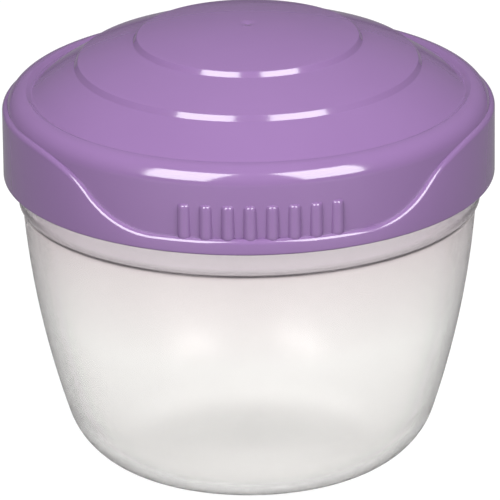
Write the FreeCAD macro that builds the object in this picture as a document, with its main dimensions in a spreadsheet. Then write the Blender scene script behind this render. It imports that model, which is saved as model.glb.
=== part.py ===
import FreeCAD, Part
import math
import os

import Sketcher

# Screw-top yogurt pot: a clear bowl with a neck, a domed lid that turns on it, and the soft ring between them.
# Millimetres, +Z up. The origin is the middle of the foot, and the lid's two grip scoops face -Y and +Y.

doc = FreeCAD.newDocument("YogurtPot")

SIZES = (
    # bowl, from the table up
    ("foot_radius", 15.8),
    ("foot_land", 2.2),
    ("foot_recess", 0.5),
    ("corner_radius", 14.1),
    ("corner_turn", 70.0),
    ("corner_facets", 5),
    ("hollow_facets", 3),
    ("belly_bulge", 0.95),
    ("belly_facets", 2),
    ("bowl_radius", 37.0),
    ("bowl_height", 44.5),
    ("bowl_wall", 1.5),
    # ledge under the lid, and the neck inside it
    ("ledge_height", 4.0),
    ("ledge_proud", 0.6),
    ("neck_height", 10.3),
    ("neck_wall", 1.2),
    # soft ring
    ("seal_height", 1.3),
    ("seal_fit", 0.3),
    # lid skirt
    ("lid_gap", 0.4),
    ("ridge_room", 0.95),
    ("skirt_wall", 1.25),
    ("shoulder_radius", 3.4),
    ("shoulder_height", 14.0),
    ("shoulder_facets", 3),
    # stepped dome, heights above the lid's lower edge
    ("lid_wall", 1.5),
    ("seat_width", 3.6),
    ("outer_terrace", 7.4),
    ("outer_step_height", 18.4),
    ("outer_step_run", 0.6),
    ("outer_step_rise", 0.8),
    ("inner_terrace", 9.0),
    ("inner_step_height", 22.6),
    ("inner_step_run", 0.8),
    ("inner_step_rise", 0.6),
    ("lid_height", 25.2),
    ("cap_facets", 2),
    # wavy collar: high on the two sides, a low lip under the scoops
    ("collar_proud", 1.1),
    ("lip_height", 2.6),
    ("lobe_height", 11.6),
    ("scoop_flat", 18.0),
    # grip ribs in each scoop
    ("rib_count", 8),
    ("rib_pitch", 5.5),
    ("rib_radius", 1.1),
    ("rib_proud", 0.65),
    ("rib_foot", 2.2),
    ("rib_length", 6.1),
)

sheet = doc.addObject("Spreadsheet::Sheet", "Sizes")
for row, (alias, number) in enumerate(SIZES, start=1):
    sheet.set(f"A{row}", alias)
    sheet.set(f"B{row}", str(number))
    sheet.setAlias(f"B{row}", alias)
doc.recompute()


class Size:
    """A length that knows both its value and the sheet expression that drives it."""

    def __init__(self, text, value):
        self.text = text
        self.value = value

    def join(self, sign, other, value):
        text = other.text if isinstance(other, Size) else f"{other:.9g}"
        return Size(f"({self.text} {sign} {text})", value)

    def __add__(self, other):
        return self.join("+", other, self.value + number_of(other))

    def __sub__(self, other):
        return self.join("-", other, self.value - number_of(other))

    def __mul__(self, other):
        return self.join("*", other, self.value * number_of(other))

    def __truediv__(self, other):
        return self.join("/", other, self.value / number_of(other))

    def __neg__(self):
        return Size(f"(-1 * {self.text})", -self.value)


def number_of(thing):
    return thing.value if isinstance(thing, Size) else thing


def size(alias):
    return Size(f"Sizes.{alias}", float(sheet.get(alias)))


def sine(turn, share):
    """Sine of a share of a turn given in degrees."""
    return Size(f"sin({share:.9g} deg * {turn.text})", math.sin(math.radians(turn.value * share)))


def cosine(turn, share):
    return Size(f"cos({share:.9g} deg * {turn.text})", math.cos(math.radians(turn.value * share)))


def shares(alias):
    """The shares of a curve at which its straight facets begin and end."""
    count = round(size(alias).value)
    return [step / count for step in range(count + 1)]


ZERO = Size("0", 0.0)
QUARTER = Size("90", 90.0)

bowl_radius = size("bowl_radius")
bowl_height = size("bowl_height")
bowl_wall = size("bowl_wall")
lid_wall = size("lid_wall")

# Fits shared by the pieces
bore_radius = bowl_radius - bowl_wall
neck_radius = bore_radius + size("neck_wall")
ledge_radius = bowl_radius + size("ledge_proud")
ledge_top = bowl_height + size("ledge_height")
rim_height = ledge_top + size("neck_height")
seat_height = rim_height + size("seal_height")
skirt_bore = neck_radius + size("ridge_room")
skirt_radius = skirt_bore + size("skirt_wall")
collar_radius = skirt_radius + size("collar_proud")
lid_edge = ledge_top + size("lid_gap")


class Outline:
    """A closed outline in a body's own sketch; each corner is tied to the sheet."""

    def __init__(self, body, name, role):
        self.sketch = body.newObject("Sketcher::SketchObject", name)
        plane = next(f for f in body.Origin.OriginFeatures if f.Role == role)
        self.sketch.AttachmentSupport = [(plane, "")]
        self.sketch.MapMode = "FlatFace"

    def tie(self, kind, *where, by):
        """A dimension driven by a sheet expression."""
        number = self.sketch.addConstraint(Sketcher.Constraint(kind, *where, by.value))
        label = f"{kind}_{number}"
        self.sketch.renameConstraint(number, label)
        self.sketch.setExpression(f"Constraints.{label}", by.text)

    def rule(self, kind, *where):
        self.sketch.addConstraint(Sketcher.Constraint(kind, *where))

    def place(self, geometry, end, corner):
        """Puts one end of a curve at a corner given as two sizes."""
        for kind, along, axis in (("DistanceX", corner[0], -2), ("DistanceY", corner[1], -1)):
            if along is ZERO:
                self.rule("PointOnObject", geometry, end, axis)
            else:
                self.tie(kind, -1, 1, geometry, end, by=along)

    def line(self, start, finish):
        return self.sketch.addGeometry(Part.LineSegment(vector(start), vector(finish)), False)

    def arc(self, centre, radius, first, last):
        circle = Part.Circle(vector(centre), FreeCAD.Vector(0, 0, 1), radius)
        return self.sketch.addGeometry(Part.ArcOfCircle(circle, first, last), False)

    def settle(self):
        answer = self.sketch.solve()
        if answer != 0:
            raise RuntimeError(f"{self.sketch.Name} does not solve ({answer})")
        doc.recompute()
        return self.sketch


def vector(corner):
    return FreeCAD.Vector(number_of(corner[0]), number_of(corner[1]), 0)


def turn(body, name, corners):
    """A piece turned round the axis from the corners of its section, given as radius and height."""
    outline = Outline(body, f"{name}_section", "XZ_Plane")
    numbers = [outline.line(start, finish) for start, finish in zip(corners, corners[1:] + corners[:1])]
    for number, after in zip(numbers, numbers[1:] + numbers[:1]):
        outline.rule("Coincident", number, 2, after, 1)
    for number, corner in zip(numbers, corners):
        outline.place(number, 1, corner)
    sketch = outline.settle()
    feature = body.newObject("PartDesign::Revolution", name)
    feature.Profile = sketch
    feature.ReferenceAxis = (sketch, ["V_Axis"])
    feature.Angle = 360.0
    doc.recompute()
    return feature


def new_body(label):
    body = doc.addObject("PartDesign::Body", label)
    body.Label = label
    return body


# Pot: foot, round corner and swelling wall run into the ledge and the neck, with one even wall behind them
foot_radius = size("foot_radius")
foot_recess = size("foot_recess")
foot_inside = foot_radius - size("foot_land")
corner_radius = size("corner_radius")
corner_turn = size("corner_turn")
corner_bore = corner_radius - bowl_wall
corner_end_radius = foot_radius + corner_radius * sine(corner_turn, 1.0)
corner_end_height = corner_radius - corner_radius * cosine(corner_turn, 1.0)
wall_run = bowl_radius - corner_end_radius
wall_rise = bowl_height - corner_end_height
bulge = size("belly_bulge")

pot_foot = [(ZERO, foot_recess), (foot_inside - foot_recess, foot_recess), (foot_inside, ZERO)]
corner_outside = [
    (foot_radius + corner_radius * sine(corner_turn, share), corner_radius - corner_radius * cosine(corner_turn, share))
    for share in shares("corner_facets")
]
corner_outside[0] = (foot_radius, ZERO)
wall_outside = [
    (corner_end_radius + wall_run * share + bulge * (4 * share * (1 - share)), corner_end_height + wall_rise * share)
    for share in shares("belly_facets")[1:]
]
pot_neck = [
    (ledge_radius, bowl_height),
    (ledge_radius, ledge_top),
    (neck_radius, ledge_top),
    (neck_radius, rim_height),
    (bore_radius, rim_height),
]
wall_inside = [(radius - bowl_wall, height) for radius, height in reversed(wall_outside)]
corner_inside = [
    (foot_radius + corner_bore * sine(corner_turn, share), corner_radius - corner_bore * cosine(corner_turn, share))
    for share in reversed(shares("hollow_facets"))
]
pot_floor = [(ZERO, bowl_wall)]

pot = new_body("pot")
pot.Tip = turn(pot, "pot_wall", pot_foot + corner_outside + wall_outside + pot_neck + wall_inside + corner_inside + pot_floor)

# Soft ring: lies on the neck's rim, inside the lid's skirt
ring_inside = bore_radius
ring_outside = skirt_bore - size("seal_fit")
ring = [(ring_inside, rim_height), (ring_outside, rim_height), (ring_outside, seat_height), (ring_inside, seat_height)]

seal = new_body("seal")
seal.Tip = turn(seal, "seal_ring", ring)

# Lid, first its collar: a plain band whose top is cut to a wave, seen from the front and from the back alike
lid = new_body("lid")
collar_bore = skirt_bore + size("skirt_wall") / 2
lip_top = lid_edge + size("lip_height")
lobe_top = lid_edge + size("lobe_height")
spare = size("collar_proud")
band_top = lobe_top + spare
band = [(collar_bore, lid_edge), (collar_radius, lid_edge), (collar_radius, band_top), (collar_bore, band_top)]
collar = turn(lid, "collar", band)

wave = Outline(lid, "wave", "XZ_Plane")
flat = size("scoop_flat")
wide = collar_radius + spare
over = band_top + spare
rise = lobe_top.value - lip_top.value
run = wide.value - flat.value
swing = (run ** 2 + rise ** 2) / (4 * rise)
lean = 2 * math.atan(rise / run)
low_centre = lip_top.value + swing
high_centre = lobe_top.value - swing
down = -math.pi / 2
up = math.pi / 2

wave_floor = wave.line((-flat, lip_top), (flat, lip_top))
right_low = wave.arc((flat, low_centre), swing, down, down + lean)
right_high = wave.arc((wide, high_centre), swing, up, up + lean)
right_side = wave.line((wide, lobe_top), (wide, over))
wave_top = wave.line((wide, over), (-wide, over))
left_side = wave.line((-wide, over), (-wide, lobe_top))
left_high = wave.arc((-wide, high_centre), swing, up - lean, up)
left_low = wave.arc((-flat, low_centre), swing, down - lean, down)
wave.rule("Coincident", wave_floor, 2, right_low, 1)
wave.rule("Tangent", right_low, 2, right_high, 2)
wave.rule("Coincident", right_high, 1, right_side, 1)
wave.rule("Coincident", right_side, 2, wave_top, 1)
wave.rule("Coincident", wave_top, 2, left_side, 1)
wave.rule("Coincident", left_side, 2, left_high, 2)
wave.rule("Tangent", left_high, 1, left_low, 1)
wave.rule("Coincident", left_low, 2, wave_floor, 1)
wave.rule("Equal", right_low, right_high)
wave.rule("Equal", left_low, left_high)
wave.place(wave_floor, 1, (-flat, lip_top))
wave.place(wave_floor, 2, (flat, lip_top))
wave.place(right_side, 1, (wide, lobe_top))
wave.place(right_side, 2, (wide, over))
wave.place(left_side, 1, (-wide, over))
wave.place(left_side, 2, (-wide, lobe_top))
for number, across in ((right_low, flat), (right_high, wide), (left_low, -flat), (left_high, -wide)):
    wave.tie("DistanceX", -1, 1, number, 3, by=across)

scoops = lid.newObject("PartDesign::Pocket", "scoops")
scoops.Profile = wave.settle()
scoops.Type = "ThroughAll"
scoops.SideType = "Symmetric"
doc.recompute()
if scoops.Shape.Volume >= collar.Shape.Volume:
    raise RuntimeError("the scoops cut nothing from the collar")

# Lid shell: skirt, shoulder and the two steps of the dome, with an even wall and the seat of the ring inside
shoulder_radius = size("shoulder_radius")
shoulder_top = lid_edge + size("shoulder_height")
shoulder_foot = shoulder_top - shoulder_radius
shoulder_middle = skirt_radius - shoulder_radius
outer_foot = shoulder_middle - size("outer_terrace")
outer_low = lid_edge + size("outer_step_height")
outer_head = outer_foot - size("outer_step_run")
outer_high = outer_low + size("outer_step_rise")
inner_foot = outer_head - size("inner_terrace")
inner_low = lid_edge + size("inner_step_height")
inner_head = inner_foot - size("inner_step_run")
inner_high = inner_low + size("inner_step_rise")
crown = lid_edge + size("lid_height")
cap_rise = crown - inner_high
half_wall = lid_wall / 2

skirt = [(skirt_bore, lid_edge), (skirt_radius, lid_edge)]
shoulder = [
    (shoulder_middle + shoulder_radius * cosine(QUARTER, share), shoulder_foot + shoulder_radius * sine(QUARTER, share))
    for share in shares("shoulder_facets")
]
dome = [
    (outer_foot, outer_low),
    (outer_head, outer_high),
    (inner_foot, inner_low),
]
cap = [
    (inner_head * (1 - share), inner_high + cap_rise * (1 - (1 - share) ** 2))
    for share in shares("cap_facets")
]
inside = [
    (ZERO, inner_high - lid_wall),
    (inner_head, inner_high - lid_wall),
    (outer_foot - half_wall, outer_low - lid_wall),
    (skirt_bore - size("seat_width"), seat_height),
    (skirt_bore, seat_height),
]
turn(lid, "lid_shell", skirt + shoulder + dome + cap + inside)

# Grip ribs: half-round, in a row across the middle of each scoop
rib_count = size("rib_count")
rib_radius = size("rib_radius")
rib_line = skirt_radius + size("rib_proud") - rib_radius
rib_span = size("rib_pitch") * (rib_count - 1)

rib = Outline(lid, "rib_section", "XY_Plane")
rib.sketch.setExpression("AttachmentOffset.Base.z", (lid_edge + size("rib_foot")).text)
rib.sketch.setExpression("AttachmentOffset.Rotation.Angle", f"-1 deg * {rib_span.text} / 2")
for side, first in ((-rib_line, math.pi), (rib_line, 0.0)):
    bow = rib.arc((ZERO, side), rib_radius.value, first, first + math.pi)
    reach = rib_radius.value * math.cos(first)
    chord = rib.line((-reach, side), (reach, side))
    rib.place(bow, 3, (ZERO, side))
    rib.tie("Radius", bow, by=rib_radius)
    rib.rule("Coincident", bow, 2, chord, 1)
    rib.rule("Coincident", chord, 2, bow, 1)
    rib.rule("PointOnObject", bow, 3, chord)
    rib.rule("Horizontal", chord)
rib_sketch = rib.settle()

first_ribs = lid.newObject("PartDesign::Pad", "first_ribs")
first_ribs.Profile = rib_sketch
first_ribs.setExpression("Length", size("rib_length").text)
doc.recompute()
rib_row = lid.newObject("PartDesign::PolarPattern", "rib_row")
rib_row.Originals = [first_ribs]
rib_row.Axis = (rib_sketch, ["N_Axis"])
rib_row.setExpression("Angle", rib_span.text)
rib_row.setExpression("Occurrences", f"round({rib_count.text})")
lid.Tip = rib_row
doc.recompute()

for thing in doc.Objects:
    if "Invalid" in thing.State or "Error" in thing.State:
        raise RuntimeError(f"{thing.Name} failed: {thing.State}")

os.makedirs("parts", exist_ok=True)
for body in (pot, seal, lid):
    shape = body.Shape
    if shape.isNull() or not shape.isValid() or len(shape.Solids) != 1:
        raise RuntimeError(f"{body.Label} is not one sound solid")
    shape.exportStep(f"parts/{body.Label}.step")
    print(body.Label, "volume", round(shape.Volume, 1), "faces", len(shape.Faces))
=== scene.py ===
import math

import bmesh
import bpy
from bpy.props import FloatProperty, FloatVectorProperty, IntProperty, PointerProperty
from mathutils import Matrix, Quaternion, Vector


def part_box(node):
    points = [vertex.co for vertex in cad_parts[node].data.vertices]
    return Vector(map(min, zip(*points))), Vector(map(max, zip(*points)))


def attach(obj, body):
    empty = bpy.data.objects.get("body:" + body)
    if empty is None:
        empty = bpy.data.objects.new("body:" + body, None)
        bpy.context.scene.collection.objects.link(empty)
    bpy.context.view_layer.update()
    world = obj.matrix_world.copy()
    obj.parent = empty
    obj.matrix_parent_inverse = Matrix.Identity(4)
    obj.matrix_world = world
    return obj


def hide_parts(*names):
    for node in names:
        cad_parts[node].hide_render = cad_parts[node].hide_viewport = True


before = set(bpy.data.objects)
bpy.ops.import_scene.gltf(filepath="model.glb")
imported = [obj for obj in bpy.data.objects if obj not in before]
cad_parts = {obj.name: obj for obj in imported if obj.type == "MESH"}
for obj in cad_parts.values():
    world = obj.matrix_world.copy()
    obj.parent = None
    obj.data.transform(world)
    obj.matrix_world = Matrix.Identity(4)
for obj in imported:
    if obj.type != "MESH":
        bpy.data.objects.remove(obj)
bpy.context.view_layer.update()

bl_info = {
    "name": "Screw-top yogurt pot",
    "version": (1, 0, 0),
    "blender": (4, 5, 0),
    "location": "3D View > Sidebar > Yogurt Pot",
    "description": "Builds a translucent pot, its domed screw lid, the ring between them and a studio",
    "category": "Object",
}

POT_LOW, POT_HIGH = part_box("pot")
LID_LOW, LID_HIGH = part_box("lid")
RING_LOW, RING_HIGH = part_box("seal")

MM = 0.001
TURN_STEPS = 240
ARC_STEPS = 7
CURVE_STEPS = 28
SHOULDER_STEPS = 14
POLE = 1e-7
CORNER_SHARE = 0.48
GATE_CURVE = 1 / 8

RIB_STEPS = 25
RIB_SIDES = 20
RIB_BLUNTNESS = 14.0
RIDGE_STEPS = 160
RIDGE_SIDES = 16
RIDGE_BLUNTNESS = 24.0
RIDGE_SINK = 0.1 * MM

LID_IOR = 1.56
POT_IOR = 1.49
RING_IOR = 1.41

# Noise scales in features per metre
LID_FLOW = 55.0
LID_GRAIN = 2400.0
POT_WAVES = 30.0
POT_HAZE = 700.0
RING_GRAIN = 1800.0
FLOOR_GRAIN = 12.0

# Roughness of ring and floor, and how far each noise makes a roughness swing
RING_ROUGHNESS = 0.58
FLOOR_ROUGHNESS = 0.625
LID_FLOW_GLOSS = 0.06
LID_GRAIN_GLOSS = 0.04
POT_HAZE_GLOSS = 0.06
RING_GLOSS = 0.12
FLOOR_GLOSS = 0.05

# Depths of the relief, and the shares of two noises in the lid's
LID_RELIEF = 0.004 * MM
POT_RELIEF = 0.04 * MM
RING_RELIEF = 0.015 * MM
LID_FLOW_SHARE = 0.4
LID_GRAIN_SHARE = 0.6

# What is left of a colour where its noise is darkest
POT_SHADE = 0.97
RING_SHADE = 0.93
FLOOR_SHADE = 0.99

LEDGE_BLEND = 1.0 * MM

FLOOR_REACH = 3.0
NEAREST_VIEW = 0.01


def length(name, about, default):
    """A size in metres."""
    return FloatProperty(name=name, description=about, default=default, min=0.0, precision=5, unit="LENGTH")


def tint(name, about, default):
    """A colour in scene-linear values."""
    return FloatVectorProperty(
        name=name, description=about, default=default, size=3, min=0.0, max=1.0, subtype="COLOR"
    )


def share(name, about, default):
    """A share from 0 to 1."""
    return FloatProperty(name=name, description=about, default=default, min=0.0, max=1.0, subtype="FACTOR")


def angle(name, about, degrees):
    """An angle, given in degrees and kept in radians."""
    return FloatProperty(name=name, description=about, default=math.radians(degrees), subtype="ANGLE")


def amount(name, about, default, unit="NONE"):
    """A strength of light, or its power."""
    return FloatProperty(name=name, description=about, default=default, min=0.0, unit=unit)


class PotSizes(bpy.types.PropertyGroup):
    """Sizes of the translucent bowl, its ledge and its neck."""

    foot_radius: length("Foot radius", "Radius at which the flat foot turns up", 18.0 * MM)
    foot_land: length("Foot land", "Width of the ring that the pot stands on", 4.4 * MM)
    foot_recess: length("Foot recess", "Depth of the hollow inside that ring", 0.25 * MM)
    foot_slope: length("Foot slope", "Width of the slope into that hollow", 13.0 * MM)
    corner_radius: length("Corner radius", "Round corner between foot and wall", 12.7 * MM)
    corner_turn: angle("Corner turn", "How far the round corner turns", 72.0)
    belly_bulge: length("Belly bulge", "Swell of the wall beyond a straight taper", 1.1 * MM)
    bowl_radius: length("Bowl radius", "Radius of the bowl under the ledge", POT_HIGH.x - 0.6 * MM)
    bowl_height: length("Bowl height", "Height of the ledge's lower edge", POT_HIGH.z - 14.3 * MM)
    bowl_wall: length("Bowl wall", "Thickness of the wall", 1.5 * MM)
    ledge_radius: length("Ledge radius", "Radius of the ledge under the lid", POT_HIGH.x)
    ledge_top: length("Ledge top", "Height of the ledge's upper edge", POT_HIGH.z - 10.3 * MM)
    neck_wall: length("Neck wall", "Thickness of the neck", 1.2 * MM)
    rim_height: length("Rim height", "Height of the neck's rim", POT_HIGH.z)
    edge_round: length("Edge rounding", "Rounding of moulded edges", 0.25 * MM)


class LidSizes(bpy.types.PropertyGroup):
    """Sizes of the stepped dome, the skirt and the wavy collar."""

    edge_height: length("Lower edge", "Height of the skirt's lower edge", LID_LOW.z)
    crown_height: length("Crown", "Height of the middle of the dome", LID_HIGH.z)
    collar_radius: length("Collar radius", "Outside of the wavy collar", LID_HIGH.x)
    skirt_radius: length("Skirt radius", "Outside of the skirt at its lower edge", LID_HIGH.x - 1.1 * MM)
    skirt_wall: length("Skirt wall", "Thickness of the skirt at its lower edge", 1.25 * MM)
    shoulder_reach: length("Shoulder reach", "Outside of the leaning shoulder", LID_HIGH.x - 0.7 * MM)
    shoulder_radius: length("Shoulder rounding", "Round edge between skirt and dome", 3.2 * MM)
    shoulder_rise: length("Shoulder height", "Top of the shoulder above the lower edge", 14.4 * MM)
    bead_run: length("Bead run", "Width of the shoulder's slope down to the dome", 0.9 * MM)
    bead_drop: length("Bead drop", "Height of that slope", 0.5 * MM)
    outer_terrace: length("Outer terrace", "Width from that slope to the outer step", 7.0 * MM)
    outer_rise: length("Outer step height", "Foot of the outer step above the lower edge", 18.3 * MM)
    inner_terrace: length("Inner terrace", "Width from the outer to the inner step", 9.0 * MM)
    inner_rise: length("Inner step height", "Foot of the inner step above the lower edge", 22.3 * MM)
    step_run: length("Step run", "Width of each step's slope", 0.6 * MM)
    step_rise: length("Step rise", "Height of each step's slope", 0.9 * MM)
    step_round: length("Step rounding", "Rounding of the steps", 0.35 * MM)
    terrace_bulge: length("Terrace bulge", "Swell of each terrace", 0.15 * MM)
    gate_radius: length("Gate mark", "Radius of the moulding mark on the crown", 1.3 * MM)
    gate_depth: length("Gate depth", "Depth of that mark", 0.22 * MM)
    lid_wall: length("Lid wall", "Thickness of the dome", 1.5 * MM)
    seat_width: length("Seat width", "Width of the flat that presses on the ring", 3.6 * MM)
    seat_height: length("Seat height", "Height of that flat", RING_HIGH.z)
    lip_height: length("Lip height", "Height of the collar under the scoops", 2.6 * MM)
    lobe_height: length("Lobe height", "Height of the collar on both sides", 12.0 * MM)
    lobe_inset: length("Lobe inset", "Distance from the side at which it is that high", 3.0 * MM)
    scoop_flat: length("Scoop flat", "Half the width of the level lip", 17.5 * MM)
    collar_round: length("Collar rounding", "Rounding of the collar's wavy edge", 0.8 * MM)


class RibSizes(bpy.types.PropertyGroup):
    """Sizes of the grip ribs in the two scoops."""

    count: IntProperty(name="Ribs", description="Ribs in each scoop", default=8, min=2)
    pitch: angle("Pitch", "Turn from rib to rib", 5.2)
    radius: length("Radius", "Radius of each half-round rib", 1.1 * MM)
    set_back: length("Set-back", "How far a rib lies behind the collar's face", 0.2 * MM)
    foot: length("Foot", "Lower end above the lid's lower edge", 2.0 * MM)
    reach: length("Reach", "Length of each rib", 6.3 * MM)


class ScrewSizes(bpy.types.PropertyGroup):
    """Sizes of the coarse screw ridges on the neck and inside the skirt."""

    lead: length("Lead", "Rise in one full turn", 12.0 * MM)
    ridge: length("Ridge", "Radius of a ridge's round section", 0.75 * MM)
    neck_start: length("Neck start", "Height at which the neck's ridges start", 51.0 * MM)
    sweep: angle("Sweep", "How far one ridge runs round", 150.0)
    drop: length("Drop", "How far the lid's ridges lie below the neck's", 1.75 * MM)


class Finishes(bpy.types.PropertyGroup):
    """Colours, painted shade and gloss of the three plastics, and the floor's colour."""

    lid: tint("Lid", "Lilac of the moulded lid", (0.153, 0.088, 0.197))
    lid_deep: tint("Lid, deep", "Darker lilac in its flow marks", (0.139, 0.079, 0.181))
    lid_roughness: share("Lid roughness", "Satin gloss of the lid", 0.115)
    pot: tint("Pot", "Faint cloud of the translucent wall", (0.985, 0.975, 0.962))
    # Painted shade: the top of the wall is darkened as if the lid shaded it, not by a cloud in the plastic
    pot_painted_shade: tint("Pot, top", "Cloud of the wall in the lid's shade", (0.77, 0.71, 0.72))
    painted_shade_reach: length("Top reach", "How far that shade runs down the wall", 17.0 * MM)
    # Partly the cloud of the thicker plastic, partly painted shade and a painted lilac reflection of the lid
    ledge: tint("Ledge", "Cloud of the thick ledge and neck", (0.68, 0.62, 0.66))
    # Painted shade: a dark line where the ledge's underside meets the wall
    crease_painted_shade: tint("Crease", "Grey line under the ledge", (0.36, 0.33, 0.345))
    crease_shade_reach: length("Crease reach", "Half the height of that line", 0.7 * MM)
    pot_clearness: share("Pot clearness", "Share of light that passes the wall unclouded", 0.93)
    pot_roughness: share("Pot roughness", "Haze of the wall", 0.18)
    ring: tint("Ring", "Off-white silicone", (0.78, 0.775, 0.75))
    floor: tint("Floor", "Grey that the floor throws back", (0.15, 0.15, 0.15))


class StudioSettings(bpy.types.PropertyGroup):
    """Camera, lights and the white of the floor."""

    elevation: angle("Elevation", "Camera height angle", 20.64)
    turn: angle("Turn", "Camera to the left of the front", 2.7)
    roll: angle("Roll", "Tilt of the picture", -0.62)
    distance: length("Distance", "Camera to the pot's axis", 1.20)
    view_width: length("View width", "Width seen at the pot's axis", 81.8 * MM)
    aim_height: length("Aim height", "Height at the middle of the picture", 34.9 * MM)
    softbox_power: amount("Softbox power", "Power of each front softbox", 16.5, "POWER")
    softbox_turn: angle("Softbox turn", "Softbox to each side", 37.0)
    softbox_rise: angle("Softbox rise", "Softbox height angle", 37.0)
    softbox_distance: length("Softbox distance", "Softbox to the pot", 1.0)
    softbox_width: length("Softbox width", "Width of each softbox", 0.54)
    softbox_height: length("Softbox height", "Height of each softbox", 0.85)
    back_rise: angle("Back light rise", "Back light height angle", 58.0)
    back_power: amount("Back light power", "Power of the light behind", 6.0, "POWER")
    fill: amount("Fill", "Strength of the room's even light", 0.16)
    floor_glow: amount("Floor glow", "White of the floor as it is seen", 1.25)
    floor_drop: length("Floor drop", "Clear space between the foot and the floor", 0.02 * MM)
    pot_glow: amount("Pot glow", "White of the floor as it is seen through the pot", 1.36)
    floor_shade: share("Floor shade", "Share of true shade in the floor as it is seen", 0.2)


class YogurtPotSettings(bpy.types.PropertyGroup):
    """Everything that shapes the pot and its picture."""

    pot: PointerProperty(type=PotSizes)
    lid: PointerProperty(type=LidSizes)
    ribs: PointerProperty(type=RibSizes)
    screw: PointerProperty(type=ScrewSizes)
    finish: PointerProperty(type=Finishes)
    studio: PointerProperty(type=StudioSettings)


def settings():
    """The scene's own copy of these settings."""
    return bpy.context.scene.yogurt_pot


# Node trees

class Signal:
    """An output socket; arithmetic on it adds Math nodes to its tree."""

    def __init__(self, graph, socket):
        self.graph = graph
        self.socket = socket

    def math(self, operation, first, second):
        return self.graph.node("ShaderNodeMath", {"operation": operation}, {0: first, 1: second})

    def __add__(self, other):
        return self.math("ADD", self, other)

    def __radd__(self, other):
        return self.math("ADD", other, self)

    def __sub__(self, other):
        return self.math("SUBTRACT", self, other)

    def __rsub__(self, other):
        return self.math("SUBTRACT", other, self)

    def __mul__(self, other):
        return self.math("MULTIPLY", self, other)

    def __rmul__(self, other):
        return self.math("MULTIPLY", other, self)

    def __truediv__(self, other):
        return self.math("DIVIDE", self, other)

    def __pow__(self, other):
        return self.math("POWER", self, other)

    def __abs__(self):
        return self.math("ABSOLUTE", self, 0.0)


class Graph:
    """Adds nodes to a tree: settings first, then the values and links of the sockets."""

    def __init__(self, tree):
        self.tree = tree

    def node(self, kind, settings=None, sockets=None, output=0):
        made = self.tree.nodes.new(kind)
        for key, value in (settings or {}).items():
            setattr(made, key, value)
        for key, value in (sockets or {}).items():
            for part in value if isinstance(value, list) else [value]:
                self.plug(made.inputs[key], part)
        return Signal(self, made.outputs[output]) if len(made.outputs) else made

    def plug(self, socket, value):
        if isinstance(value, Signal):
            self.tree.links.new(value.socket, socket)
        else:
            socket.default_value = value


def plastic(name, constants):
    """A material whose shader has these fixed values; returns it with its graph and shader."""
    material = bpy.data.materials.new(name)
    material.use_nodes = True
    graph = Graph(material.node_tree)
    shader = material.node_tree.nodes["Principled BSDF"]
    for socket, value in constants.items():
        shader.inputs[socket].default_value = value
    return material, graph, shader


def speckle(graph, scale, detail=3.0):
    """Noise on the piece's own coordinates, scale in features per metre."""
    place = graph.node("ShaderNodeTexCoord", output="Object")
    return graph.node("ShaderNodeTexNoise", None, {"Vector": place, "Scale": scale, "Detail": detail})


def blend_colours(graph, factor, low, high):
    """Mixes two colours, of which the first may itself come from the graph."""
    first = low if isinstance(low, Signal) else (*low, 1.0)
    return graph.node(
        "ShaderNodeMix",
        {"data_type": "RGBA", "clamp_factor": True},
        {0: factor, 6: first, 7: (*high, 1.0)},
        output=2,
    )


def relief(graph, shader, height, distance):
    """Bumps the surface by a height from 0 to 1, at its full depth in metres."""
    bump = graph.node("ShaderNodeBump", None, {"Strength": 1.0, "Distance": distance, "Height": height})
    graph.plug(shader.inputs["Normal"], bump)


def varied(base, *swings):
    """A value that swings evenly about its base with each noise."""
    total = base - sum(swing for noise, swing in swings) / 2
    for noise, swing in swings:
        total = total + noise * swing
    return total


def dimmed(colour, left):
    """A colour of which this share is left."""
    return tuple(left * channel for channel in colour)


def lid_plastic(name):
    """Lilac moulded plastic: satin, with faint flow marks and a fine spark-eroded grain."""
    finish = settings().finish
    material, graph, shader = plastic(name, {"IOR": LID_IOR})
    flow = speckle(graph, LID_FLOW)
    grain = speckle(graph, LID_GRAIN, detail=2.0)
    gloss = varied(finish.lid_roughness, (flow, LID_FLOW_GLOSS), (grain, LID_GRAIN_GLOSS))
    graph.plug(shader.inputs["Base Color"], blend_colours(graph, flow, finish.lid_deep, finish.lid))
    graph.plug(shader.inputs["Roughness"], gloss)
    relief(graph, shader, grain * LID_GRAIN_SHARE + flow * LID_FLOW_SHARE, LID_RELIEF)
    return material


def pot_plastic(name):
    """Translucent plastic: clear with a light cloud in it and slight waves from moulding; the lid's shade is
    painted down the top of the wall, on the ledge and in a line under the ledge.
    """
    finish = settings().finish
    material, graph, shader = plastic(name, {"IOR": POT_IOR, "Transmission Weight": finish.pot_clearness})
    waves = speckle(graph, POT_WAVES, detail=1.0)
    haze = speckle(graph, POT_HAZE, detail=2.0)
    place = graph.node("ShaderNodeTexCoord", output="Object")
    height = graph.node("ShaderNodeSeparateXYZ", None, {0: place}, output="Z")
    above = height - settings().pot.bowl_height
    thin = blend_colours(graph, waves, dimmed(finish.pot, POT_SHADE), finish.pot)
    # Painted shade of the lid: darkest at the ledge, fading out down the wall
    shaded = blend_colours(graph, above / finish.painted_shade_reach + 1.0, thin, finish.pot_painted_shade)
    # The ledge and neck take the thicker plastic's cloud together with painted shade and a painted
    # reflection of the lid
    thick = blend_colours(graph, above / LEDGE_BLEND + 0.5, shaded, finish.ledge)
    # Painted shade: a grey band painted along the corner under the ledge
    shade_lined = blend_colours(graph, 1.0 - abs(above) / finish.crease_shade_reach, thick, finish.crease_painted_shade)
    graph.plug(shader.inputs["Base Color"], shade_lined)
    graph.plug(shader.inputs["Roughness"], varied(finish.pot_roughness, (haze, POT_HAZE_GLOSS)))
    relief(graph, shader, waves, POT_RELIEF)
    return material


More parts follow.
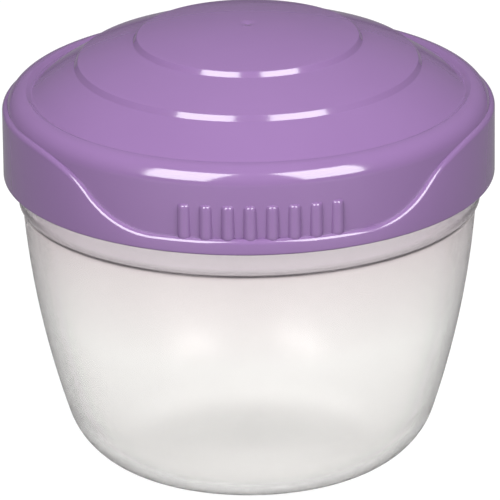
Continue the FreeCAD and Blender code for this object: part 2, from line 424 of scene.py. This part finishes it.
def ring_silicone(name):
    """Matt off-white silicone with a fine grain."""
    finish = settings().finish
    material, graph, shader = plastic(name, {"IOR": RING_IOR})
    grain = speckle(graph, RING_GRAIN)
    shade = dimmed(finish.ring, RING_SHADE)
    graph.plug(shader.inputs["Base Color"], blend_colours(graph, grain, shade, finish.ring))
    graph.plug(shader.inputs["Roughness"], varied(RING_ROUGHNESS, (grain, RING_GLOSS)))
    relief(graph, shader, grain, RING_RELIEF)
    return material


def floor_paint(name):
    """Matt floor that is seen as white paper, also through the pot, but throws little light back."""
    finish = settings().finish
    studio = settings().studio
    material, graph, shader = plastic(name, {})
    grain = speckle(graph, FLOOR_GRAIN)
    shade = dimmed(finish.floor, FLOOR_SHADE)
    graph.plug(shader.inputs["Base Color"], blend_colours(graph, grain, shade, finish.floor))
    graph.plug(shader.inputs["Roughness"], varied(FLOOR_ROUGHNESS, (grain, FLOOR_GLOSS)))
    direct = graph.node("ShaderNodeLightPath", output="Is Camera Ray")
    through = graph.node("ShaderNodeLightPath", output="Is Transmission Ray")
    bare = graph.node("ShaderNodeEmission", None, {"Strength": studio.floor_glow})
    behind = graph.node("ShaderNodeEmission", None, {"Strength": studio.pot_glow})
    glow = graph.node("ShaderNodeMixShader", None, {0: direct, 1: behind, 2: bare})
    seen = direct.math("MAXIMUM", direct, through) * (1.0 - studio.floor_shade)
    paint = Signal(graph, shader.outputs["BSDF"])
    paper = graph.node("ShaderNodeMixShader", None, {0: seen, 1: paint, 2: glow})
    graph.plug(material.node_tree.nodes["Material Output"].inputs["Surface"], paper)
    return material


FINISH_NAMES = {
    lid_plastic: "lilac_moulding",
    pot_plastic: "cloudy_moulding",
    ring_silicone: "white_silicone",
    floor_paint: "floor_paint",
}


def finish_of(maker):
    """The material of that maker, made once."""
    name = FINISH_NAMES[maker]
    return bpy.data.materials.get(name) or maker(name)


# Sections: lists of (radius, height) points

def arc(centre, radius, first, last, steps=ARC_STEPS):
    """Points on a round stretch, its angles in radians from outward towards up."""
    angles = [first + (last - first) * step / steps for step in range(steps + 1)]
    return [(centre[0] + radius * math.cos(a), centre[1] + radius * math.sin(a)) for a in angles]


def swelling(start, finish, bulge, steps=CURVE_STEPS):
    """A shallow bow between two points, standing out by the bulge at its middle."""
    run = Vector(finish) - Vector(start)
    out = Vector((run.y, -run.x)).normalized()
    points = []
    for step in range(steps + 1):
        along = step / steps
        points.append(tuple(Vector(start) + run * along + out * bulge * 4 * along * (1 - along)))
    return points


def rounded(before, corner, after, radius, steps=ARC_STEPS):
    """The points that round one corner between two straight runs."""
    here = Vector(corner)
    back = Vector(before) - here
    on = Vector(after) - here
    half = back.angle(on) / 2
    reach = min(radius / math.tan(half), CORNER_SHARE * back.length, CORNER_SHARE * on.length)
    middle = here + (back.normalized() + on.normalized()).normalized() * reach / math.cos(half)
    first = here + back.normalized() * reach - middle
    last = here + on.normalized() * reach - middle
    swing = first.angle_signed(last)
    points = []
    for step in range(steps + 1):
        bend = -swing * step / steps
        turned_ray = Vector((
            first.x * math.cos(bend) - first.y * math.sin(bend),
            first.x * math.sin(bend) + first.y * math.cos(bend),
        ))
        points.append(tuple(middle + turned_ray))
    return points


def smooth_corners(corners, radius, closed=False):
    """A run of straight lines with its corners rounded; the ends of an open run stay as they are."""
    count = len(corners)
    points = [] if closed else [corners[0]]
    for number in range(0 if closed else 1, count if closed else count - 1):
        points += rounded(corners[number - 1], corners[number], corners[(number + 1) % count], radius)
    return points if closed else points + [corners[-1]]


# Meshes

def mesh_of(form, name):
    """Turns a bmesh into an object with smooth faces that point outwards."""
    bmesh.ops.recalc_face_normals(form, faces=form.faces)
    for face in form.faces:
        face.smooth = True
    mesh = bpy.data.meshes.new(name)
    form.to_mesh(mesh)
    form.free()
    piece = bpy.data.objects.new(name, mesh)
    bpy.context.scene.collection.objects.link(piece)
    return piece


def rays():
    """Level directions of the turn steps, from the front round to the right."""
    turns = [2 * math.pi * step / TURN_STEPS for step in range(TURN_STEPS)]
    return [(math.sin(turn), -math.cos(turn)) for turn in turns]


def skin(form, rings, closed):
    """Faces between neighbouring rings; a ring of one vertex is a pole."""
    for low, high in zip(rings, rings[1:] + (rings[:1] if closed else [])):
        for step in range(TURN_STEPS):
            after = (step + 1) % TURN_STEPS
            places = ((low, step), (low, after), (high, after), (high, step))
            corners = [ring[place % len(ring)] for ring, place in places]
            form.faces.new(list(dict.fromkeys(corners)))


def turned(name, outline, closed=False):
    """A piece turned round the upright axis from its section."""
    form = bmesh.new()
    rings = []
    for radius, height in outline:
        if radius < POLE:
            rings.append([form.verts.new((0.0, 0.0, height))])
        else:
            rings.append([form.verts.new((radius * x, radius * y, height)) for x, y in rays()])
    skin(form, rings, closed)
    return mesh_of(form, name)


def hand_over(piece, body, material, node):
    """Dresses a finished piece and lets it ride on its body in place of its node."""
    piece.data.materials.clear()
    piece.data.materials.append(material)
    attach(piece, body)
    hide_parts(node)


def grown(name, tree_maker, values):
    """A plain mesh from a node tree whose named inputs take these values."""
    tree = tree_maker(name)
    piece = bpy.data.objects.new(name, bpy.data.meshes.new(name))
    bpy.context.scene.collection.objects.link(piece)
    modifier = piece.modifiers.new(name, "NODES")
    modifier.node_group = tree
    for item in tree.interface.items_tree:
        if item.in_out == "INPUT" and item.name in values:
            modifier[item.identifier] = values[item.name]
    view = bpy.context.evaluated_depsgraph_get()
    mesh = bpy.data.meshes.new_from_object(piece.evaluated_get(view))
    piece.modifiers.remove(modifier)
    piece.data = mesh
    if not mesh.polygons:
        raise RuntimeError(f"{name} came out empty")
    return piece


def node_tree(name, inputs):
    """A geometry tree with named inputs; returns its graph and the signals of those inputs."""
    tree = bpy.data.node_groups.new(name, "GeometryNodeTree")
    tree.interface.new_socket("Mesh", in_out="INPUT", socket_type="NodeSocketGeometry")
    for label, kind in inputs.items():
        tree.interface.new_socket(label, in_out="INPUT", socket_type=kind)
    tree.interface.new_socket("Mesh", in_out="OUTPUT", socket_type="NodeSocketGeometry")
    graph = Graph(tree)
    source = tree.nodes.new("NodeGroupInput")
    signals = {label: Signal(graph, source.outputs[label]) for label in inputs}
    return graph, signals


def close_tree(graph, shape, material):
    """Ends a tree: real geometry, smooth and dressed."""
    real = graph.node("GeometryNodeRealizeInstances", None, {0: shape})
    smooth = graph.node("GeometryNodeSetShadeSmooth", None, {"Geometry": real})
    dressed = graph.node("GeometryNodeSetMaterial", None, {"Geometry": smooth, "Material": material})
    graph.node("NodeGroupOutput", None, {"Mesh": dressed})
    return graph.tree


def blunt_ends(graph, bluntness):
    """Full width along a curve, rounding off to nothing at both ends."""
    along = graph.node("GeometryNodeSplineParameter", output="Factor")
    edge = abs(along * 2.0 - 1.0) ** bluntness
    return (1.0 - edge) ** 0.5


def round_bar(graph, path, radius, sides, bluntness):
    """A bar of round section along a curve, with blunt ends."""
    section = graph.node("GeometryNodeCurvePrimitiveCircle", None, {"Resolution": sides, "Radius": radius})
    return graph.node(
        "GeometryNodeCurveToMesh",
        None,
        {"Curve": path, "Profile Curve": section, "Scale": blunt_ends(graph, bluntness), "Fill Caps": True},
    )


def rib_tree(name):
    """Upright half-sunk bars along two arcs, one in each scoop."""
    graph, size = node_tree(name, {
        "Count": "NodeSocketInt",
        "Pitch": "NodeSocketFloat",
        "Ring": "NodeSocketFloat",
        "Radius": "NodeSocketFloat",
        "Foot": "NodeSocketFloat",
        "Head": "NodeSocketFloat",
    })
    foot = graph.node("ShaderNodeCombineXYZ", None, {"Z": size["Foot"]})
    head = graph.node("ShaderNodeCombineXYZ", None, {"Z": size["Head"]})
    spine = graph.node("GeometryNodeCurvePrimitiveLine", None, {"Start": foot, "End": head})
    fine = graph.node("GeometryNodeResampleCurve", None, {"Curve": spine, "Count": RIB_STEPS})
    bar = round_bar(graph, fine, size["Radius"], RIB_SIDES, RIB_BLUNTNESS)
    span = size["Pitch"] * (size["Count"] - 1.0)
    rows = []
    for facing in (-math.pi / 2, math.pi / 2):
        row = graph.node(
            "GeometryNodeCurveArc",
            None,
            {
                "Resolution": size["Count"],
                "Radius": size["Ring"],
                "Start Angle": facing - span * 0.5,
                "Sweep Angle": span,
            },
        )
        rows.append(graph.node("GeometryNodeInstanceOnPoints", None, {"Points": row, "Instance": bar}))
    both = graph.node("GeometryNodeJoinGeometry", None, {0: rows})
    return close_tree(graph, both, finish_of(lid_plastic))


def ridge_tree(material_maker):
    """A maker of trees for two screw ridges that start on opposite sides."""
    def make(name):
        graph, size = node_tree(name, {
            "Ring": "NodeSocketFloat",
            "Turns": "NodeSocketFloat",
            "Lead": "NodeSocketFloat",
            "Start": "NodeSocketFloat",
            "Ridge": "NodeSocketFloat",
        })
        path = graph.node(
            "GeometryNodeCurveSpiral",
            None,
            {
                "Resolution": RIDGE_STEPS,
                "Rotations": size["Turns"],
                "Start Radius": size["Ring"],
                "End Radius": size["Ring"],
                "Height": size["Lead"] * size["Turns"],
            },
        )
        ridge = round_bar(graph, path, size["Ridge"], RIDGE_SIDES, RIDGE_BLUNTNESS)
        lift = graph.node("ShaderNodeCombineXYZ", None, {"Z": size["Start"]})
        starts = [
            graph.node(
                "GeometryNodeTransform",
                None,
                {"Geometry": ridge, "Translation": lift, "Rotation": (0.0, 0.0, turn)},
            )
            for turn in (0.0, math.pi)
        ]
        both = graph.node("GeometryNodeJoinGeometry", None, {0: starts})
        return close_tree(graph, both, finish_of(material_maker))
    return make


class YOGURTPOT_OT_pot(bpy.types.Operator):
    """Builds the translucent bowl with its ledge and neck"""

    bl_idname = "yogurt_pot.pot"
    bl_label = "Pot"

    def execute(self, context):
        pot = settings().pot
        down = -math.pi / 2
        up_to = down + pot.corner_turn
        middle = (pot.foot_radius, pot.corner_radius)
        foot_inside = pot.foot_radius - pot.foot_land
        neck_radius = pot.bowl_radius - pot.bowl_wall + pot.neck_wall
        bore = pot.bowl_radius - pot.bowl_wall
        corner = arc(middle, pot.corner_radius, down, up_to, CURVE_STEPS)
        wall = swelling(corner[-1], (pot.bowl_radius, pot.bowl_height), pot.belly_bulge)
        foot = smooth_corners(
            [
                (0.0, pot.foot_recess),
                (foot_inside - pot.foot_slope, pot.foot_recess),
                (foot_inside, 0.0),
                corner[0],
            ],
            pot.edge_round,
        )
        neck = smooth_corners(
            [
                wall[-1],
                (pot.ledge_radius, pot.bowl_height),
                (pot.ledge_radius, pot.ledge_top),
                (neck_radius, pot.ledge_top),
                (neck_radius, pot.rim_height),
                (bore, pot.rim_height),
                (bore, pot.bowl_height),
            ],
            pot.edge_round,
        )
        inner_corner = arc(middle, pot.corner_radius - pot.bowl_wall, up_to, down, CURVE_STEPS)
        inner_wall = [(radius - pot.bowl_wall, height) for radius, height in reversed(wall[1:-1])]
        inner_floor = [(0.0, pot.bowl_wall)]
        outline = foot[:-1] + corner + wall[1:-1] + neck + inner_wall[:-1] + inner_corner + inner_floor
        piece = turned("pot_wall", outline)
        hand_over(piece, "pot", finish_of(pot_plastic), "pot")
        return {"FINISHED"}


class YOGURTPOT_OT_ring(bpy.types.Operator):
    """Builds the soft ring that lies on the rim"""

    bl_idname = "yogurt_pot.ring"
    bl_label = "Ring"

    def execute(self, context):
        pot = settings().pot
        bore = pot.bowl_radius - pot.bowl_wall
        corners = [
            (bore, RING_LOW.z),
            (RING_HIGH.x, RING_LOW.z),
            (RING_HIGH.x, RING_HIGH.z),
            (bore, RING_HIGH.z),
        ]
        piece = turned("seal_ring", smooth_corners(corners, pot.edge_round, closed=True), closed=True)
        hand_over(piece, "seal", finish_of(ring_silicone), "seal")
        return {"FINISHED"}


class YOGURTPOT_OT_lid(bpy.types.Operator):
    """Builds the lid's stepped dome, shoulder and skirt"""

    bl_idname = "yogurt_pot.lid"
    bl_label = "Lid"

    def execute(self, context):
        piece = turned("lid_shell", self.outside(settings().lid) + self.inside(settings().lid))
        hand_over(piece, "lid", finish_of(lid_plastic), "lid")
        return {"FINISHED"}

    def steps(self, lid):
        """Feet and heads of the two steps, from the shoulder inwards."""
        bead_foot = lid.shoulder_reach - lid.shoulder_radius - lid.bead_run
        outer_foot = (bead_foot - lid.outer_terrace, lid.edge_height + lid.outer_rise)
        outer_head = (outer_foot[0] - lid.step_run, outer_foot[1] + lid.step_rise)
        inner_foot = (outer_head[0] - lid.inner_terrace, lid.edge_height + lid.inner_rise)
        inner_head = (inner_foot[0] - lid.step_run, inner_foot[1] + lid.step_rise)
        return outer_foot, outer_head, inner_foot, inner_head

    def outside(self, lid):
        """From the crown out over the steps and the shoulder, down to the skirt."""
        def bend(*corners):
            return smooth_corners(list(corners), lid.step_round)[1:-1]

        def terrace(start, finish):
            return swelling(start, finish, -lid.terrace_bulge, ARC_STEPS)[1:-1]

        outer_foot, outer_head, inner_foot, inner_head = self.steps(lid)
        top = lid.edge_height + lid.shoulder_rise
        middle = lid.shoulder_reach - lid.shoulder_radius
        bead_foot = (middle - lid.bead_run, top - lid.bead_drop)
        gate_floor = (0.0, lid.crown_height - lid.gate_depth)
        gate_rim = (lid.gate_radius, lid.crown_height)
        gate = swelling(gate_floor, gate_rim, -lid.gate_depth * GATE_CURVE, ARC_STEPS)
        cap_drop = lid.crown_height - inner_head[1]
        cap = []
        for step in range(1, CURVE_STEPS):
            radius = lid.gate_radius + (inner_head[0] - lid.gate_radius) * step / CURVE_STEPS
            cap.append((radius, lid.crown_height - cap_drop * (radius / inner_head[0]) ** 2))
        inner_slope = bend(cap[-1], inner_head, inner_foot, outer_head)
        inner_terrace = terrace(inner_slope[-1], outer_head)
        outer_slope = bend(inner_terrace[-1], outer_head, outer_foot, bead_foot)
        outer_terrace = terrace(outer_slope[-1], bead_foot)
        centre = (middle, top - lid.shoulder_radius)
        shoulder = arc(centre, lid.shoulder_radius, math.pi / 2, 0.0, SHOULDER_STEPS)
        bead = bend(outer_terrace[-1], bead_foot, (middle, top), shoulder[1])
        return gate + cap + inner_slope + inner_terrace + outer_slope + outer_terrace + bead + shoulder[1:-1]

    def inside(self, lid):
        """Down the skirt, round the lower edge, up to the ring's seat and under the dome."""
        outer_foot, _, _, inner_head = self.steps(lid)
        bore = lid.skirt_radius - lid.skirt_wall
        ceiling = inner_head[1] - lid.lid_wall
        return smooth_corners(
            [
                (lid.shoulder_reach, lid.edge_height + lid.shoulder_rise - lid.shoulder_radius),
                (lid.skirt_radius, lid.edge_height),
                (bore, lid.edge_height),
                (bore, lid.seat_height),
                (bore - lid.seat_width, lid.seat_height),
                (outer_foot[0] - lid.lid_wall / 2, outer_foot[1] - lid.lid_wall),
                (inner_head[0], ceiling),
                (0.0, ceiling),
            ],
            lid.step_round,
        )


class YOGURTPOT_OT_collar(bpy.types.Operator):
    """Builds the collar that rises in a wave on both sides of the two scoops"""

    bl_idname = "yogurt_pot.collar"
    bl_label = "Collar"

    def execute(self, context):
        lid = settings().lid
        form = bmesh.new()
        columns = [self.section(lid, lid.edge_height + self.wave(lid, abs(x))) for x, y in rays()]
        rings = [
            [
                form.verts.new((radius * x, radius * y, height))
                for (x, y), (radius, height) in zip(rays(), row)
            ]
            for row in zip(*columns)
        ]
        skin(form, rings, closed=True)
        piece = mesh_of(form, "lid_collar")
        hand_over(piece, "lid", finish_of(lid_plastic), "lid")
        return {"FINISHED"}

    def wave(self, lid, side):
        """Height of the collar from the front (0) to the side (1): two arcs that meet halfway."""
        across = lid.collar_radius * side
        crest = lid.collar_radius - lid.lobe_inset
        run = crest - lid.scoop_flat
        rise = lid.lobe_height - lid.lip_height
        swing = (run ** 2 + rise ** 2) / (4 * rise)
        if across <= lid.scoop_flat:
            return lid.lip_height
        if across >= crest:
            return lid.lobe_height
        if across <= lid.scoop_flat + run / 2:
            return lid.lip_height + swing - math.sqrt(swing ** 2 - (across - lid.scoop_flat) ** 2)
        return lid.lobe_height - swing + math.sqrt(swing ** 2 - (crest - across) ** 2)

    def section(self, lid, top):
        """The collar's section under a top edge at this height, its inner side buried in the skirt."""
        inner = lid.skirt_radius - lid.skirt_wall / 2
        lower = rounded(
            (inner, lid.edge_height),
            (lid.collar_radius, lid.edge_height),
            (lid.collar_radius, top),
            lid.collar_round / 2,
        )
        upper = rounded(
            (lid.collar_radius, lid.edge_height), (lid.collar_radius, top), (inner, top), lid.collar_round
        )
        return [(inner, lid.edge_height)] + lower + upper + [(inner, top)]


class YOGURTPOT_OT_ribs(bpy.types.Operator):
    """Builds the rows of grip ribs in the two scoops"""

    bl_idname = "yogurt_pot.ribs"
    bl_label = "Grip ribs"

    def execute(self, context):
        lid = settings().lid
        ribs = settings().ribs
        foot = lid.edge_height + ribs.foot
        piece = grown("lid_ribs", rib_tree, {
            "Count": ribs.count,
            "Pitch": ribs.pitch,
            "Ring": lid.collar_radius - ribs.set_back - ribs.radius,
            "Radius": ribs.radius,
            "Foot": foot,
            "Head": foot + ribs.reach,
        })
        hand_over(piece, "lid", finish_of(lid_plastic), "lid")
        return {"FINISHED"}


class YOGURTPOT_OT_screw(bpy.types.Operator):
    """Builds the screw ridges on the neck and inside the lid"""

    bl_idname = "yogurt_pot.screw"
    bl_label = "Screw ridges"

    def execute(self, context):
        pot = settings().pot
        lid = settings().lid
        screw = settings().screw
        neck_radius = pot.bowl_radius - pot.bowl_wall + pot.neck_wall
        bore = lid.skirt_radius - lid.skirt_wall
        shared = {"Turns": screw.sweep / (2 * math.pi), "Lead": screw.lead, "Ridge": screw.ridge}
        neck = grown("neck_ridges", ridge_tree(pot_plastic), {
            **shared, "Ring": neck_radius - RIDGE_SINK, "Start": screw.neck_start,
        })
        hand_over(neck, "pot", finish_of(pot_plastic), "pot")
        skirt = grown("lid_ridges", ridge_tree(lid_plastic), {
            **shared, "Ring": bore + RIDGE_SINK, "Start": screw.neck_start - screw.drop,
        })
        hand_over(skirt, "lid", finish_of(lid_plastic), "lid")
        return {"FINISHED"}


class YOGURTPOT_OT_stage(bpy.types.Operator):
    """Builds the floor, the lights and the camera"""

    bl_idname = "yogurt_pot.stage"
    bl_label = "Studio"

    def execute(self, context):
        studio = settings().studio
        aim = Vector((0.0, 0.0, studio.aim_height))
        self.floor(studio)
        self.room(studio)
        for side in (-1.0, 1.0):
            self.softbox(studio, aim, side * studio.softbox_turn, studio.softbox_rise, studio.softbox_power)
        # Lights the back of the lid without a reflection in its front
        behind = self.softbox(studio, aim, math.pi, studio.back_rise, studio.back_power)
        behind.visible_glossy = False
        self.camera(studio, aim)
        return {"FINISHED"}

    def floor(self, studio):
        form = bmesh.new()
        bmesh.ops.create_grid(form, x_segments=1, y_segments=1, size=FLOOR_REACH)
        bmesh.ops.translate(form, verts=form.verts, vec=(0.0, 0.0, -studio.floor_drop))
        piece = mesh_of(form, "studio_floor")
        piece.data.materials.append(finish_of(floor_paint))

    def room(self, studio):
        world = bpy.data.worlds.new("studio_room")
        world.use_nodes = True
        background = world.node_tree.nodes["Background"]
        background.inputs["Color"].default_value = (1.0, 1.0, 1.0, 1.0)
        background.inputs["Strength"].default_value = studio.fill
        bpy.context.scene.world = world
        bpy.context.scene.view_settings.view_transform = "Standard"

    def softbox(self, studio, aim, turn, rise, power):
        lamp = bpy.data.lights.new("softbox", "AREA")
        lamp.shape = "RECTANGLE"
        lamp.size = studio.softbox_width
        lamp.size_y = studio.softbox_height
        lamp.energy = power
        place = bpy.data.objects.new("softbox", lamp)
        away = ray_from(turn, rise)
        place.location = aim + away * studio.softbox_distance
        place.rotation_euler = away.to_track_quat("Z", "Y").to_euler()
        bpy.context.scene.collection.objects.link(place)
        return place

    def camera(self, studio, aim):
        lens = bpy.data.cameras.new("camera")
        lens.lens = lens.sensor_width * studio.distance / studio.view_width
        lens.clip_start = NEAREST_VIEW
        place = bpy.data.objects.new("camera", lens)
        away = ray_from(-studio.turn, studio.elevation)
        place.location = aim + away * studio.distance
        level = away.to_track_quat("Z", "Y")
        place.rotation_euler = (level @ Quaternion((0.0, 0.0, 1.0), studio.roll)).to_euler()
        bpy.context.scene.collection.objects.link(place)
        bpy.context.scene.camera = place


def ray_from(turn, rise):
    """Direction from the pot towards a place that is turned to the right of the front and raised."""
    return Vector((math.sin(turn) * math.cos(rise), -math.cos(turn) * math.cos(rise), math.sin(rise)))


class YOGURTPOT_PT_panel(bpy.types.Panel):
    """Lists the pieces in the order in which they are built"""

    bl_idname = "YOGURTPOT_PT_panel"
    bl_label = "Yogurt Pot"
    bl_space_type = "VIEW_3D"
    bl_region_type = "UI"
    bl_category = "Yogurt Pot"

    def draw(self, context):
        for operator in OPERATORS:
            self.layout.operator(operator.bl_idname)


OPERATORS = (
    YOGURTPOT_OT_pot,
    YOGURTPOT_OT_ring,
    YOGURTPOT_OT_lid,
    YOGURTPOT_OT_collar,
    YOGURTPOT_OT_ribs,
    YOGURTPOT_OT_screw,
    YOGURTPOT_OT_stage,
)

CLASSES = (
    PotSizes,
    LidSizes,
    RibSizes,
    ScrewSizes,
    Finishes,
    StudioSettings,
    YogurtPotSettings,
    *OPERATORS,
    YOGURTPOT_PT_panel,
)


def register():
    for kind in CLASSES:
        bpy.utils.register_class(kind)
    bpy.types.Scene.yogurt_pot = PointerProperty(type=YogurtPotSettings)


def unregister():
    del bpy.types.Scene.yogurt_pot
    for kind in reversed(CLASSES):
        bpy.utils.unregister_class(kind)


def main():
    register()
    bpy.ops.yogurt_pot.pot()
    bpy.ops.yogurt_pot.ring()
    bpy.ops.yogurt_pot.lid()
    bpy.ops.yogurt_pot.collar()
    bpy.ops.yogurt_pot.ribs()
    bpy.ops.yogurt_pot.screw()
    bpy.ops.yogurt_pot.stage()


if __name__ == "__main__":
    main()
